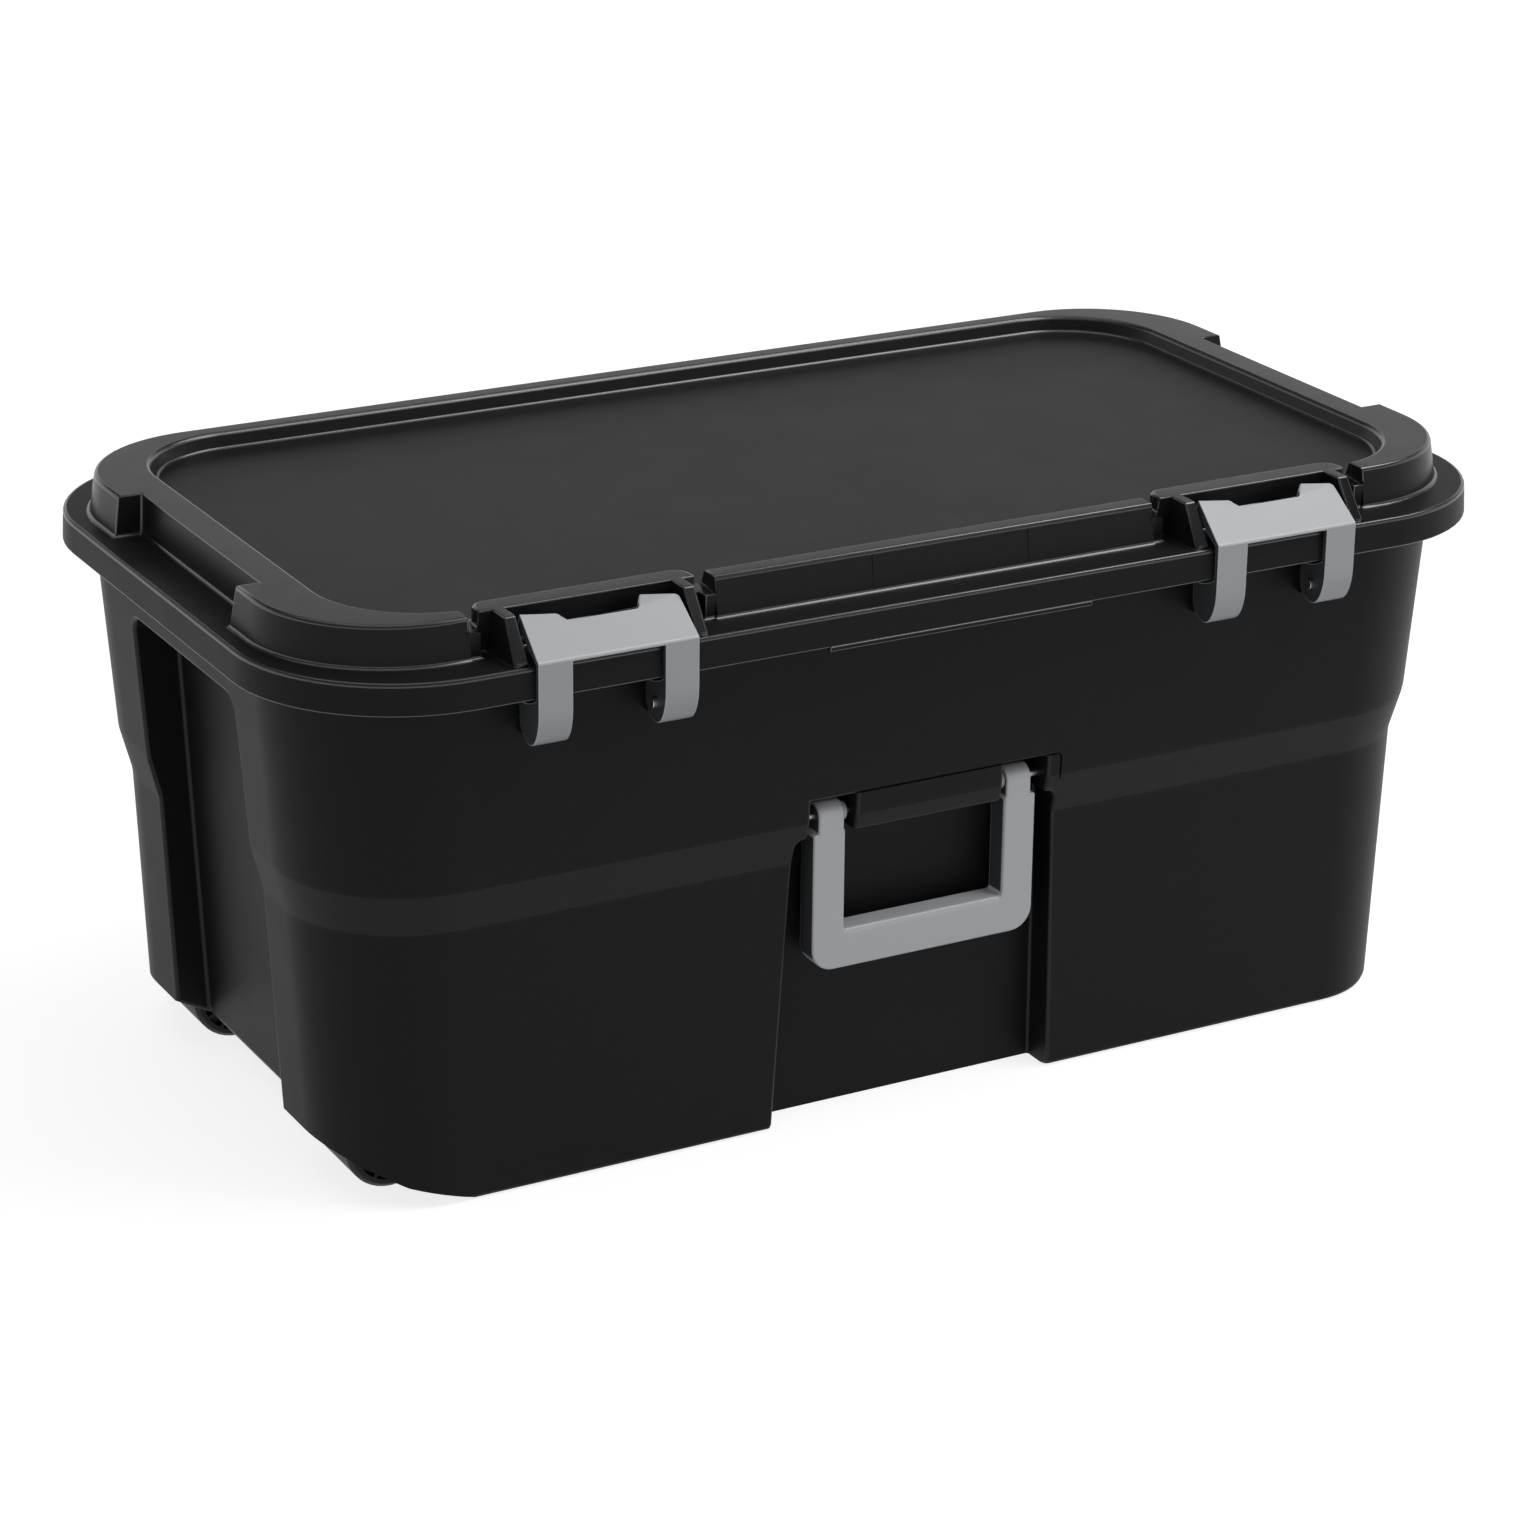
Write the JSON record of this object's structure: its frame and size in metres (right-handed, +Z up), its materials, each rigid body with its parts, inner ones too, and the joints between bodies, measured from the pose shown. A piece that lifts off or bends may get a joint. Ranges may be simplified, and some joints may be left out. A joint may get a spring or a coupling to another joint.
{
  "type": "wheeled storage box",
  "caption": "Long black plastic storage box with rounded corners, a hinged lid with a sunken panel, grey latches, a fold-out front handle and small wheels at one end.",
  "frame": {"origin": "centre of the whole box's outline, on the floor", "axes": "+X along the length, away from the wheels; +Y from the latches and the handle to the lid hinge; +Z up"},
  "size_m": [0.8, 0.4494, 0.3552],
  "materials": {
    "black_plastic": "satin black",
    "grey_plastic": "satin light grey",
    "wheel_plastic": "dull black",
    "steel": "plain bright"
  },
  "bodies": {
    "tub": {"tub": "black_plastic", "hinge_pin_left": "steel", "hinge_pin_middle": "steel", "hinge_pin_right": "steel", "handle_pin_left": "steel", "handle_pin_right": "steel", "axle_front": "steel", "axle_back": "steel"},
    "lid": {"lid": "black_plastic", "latch_pin_left": "steel", "latch_pin_right": "steel"},
    "latch_left": {"latch_left": "grey_plastic", "catch_pin_left_a": "steel", "catch_pin_left_b": "steel"},
    "latch_right": {"latch_right": "grey_plastic", "catch_pin_right_a": "steel", "catch_pin_right_b": "steel"},
    "carry_handle": {"carry_handle": "grey_plastic"},
    "wheel_front": {"wheel_front": "wheel_plastic"},
    "wheel_back": {"wheel_back": "wheel_plastic"}
  },
  "joints": [
    {"name": "lid_hinge", "type": "hinge", "parent": "tub", "child": "lid", "pos_m": [0, 0.2197, 0.305], "axis": [-1, 0, 0], "range_deg": [0, 100]},
    {"name": "latch_left_pivot", "type": "hinge", "parent": "lid", "child": "latch_left", "pos_m": [-0.218, -0.2007, 0.3447], "axis": [-1, 0, 0], "range_deg": [0, 110]},
    {"name": "latch_right_pivot", "type": "hinge", "parent": "lid", "child": "latch_right", "pos_m": [0.218, -0.2007, 0.3447], "axis": [-1, 0, 0], "range_deg": [0, 110]},
    {"name": "handle_pivot", "type": "hinge", "parent": "tub", "child": "carry_handle", "pos_m": [0, -0.1785, 0.195], "axis": [-1, 0, 0], "range_deg": [0, 90]},
    {"name": "wheel_front_spin", "type": "hinge", "parent": "tub", "child": "wheel_front", "pos_m": [-0.322, -0.1145, 0.028], "axis": [0, 1, 0], "continuous": true},
    {"name": "wheel_back_spin", "type": "hinge", "parent": "tub", "child": "wheel_back", "pos_m": [-0.322, 0.1145, 0.028], "axis": [0, 1, 0], "continuous": true}
  ]
}
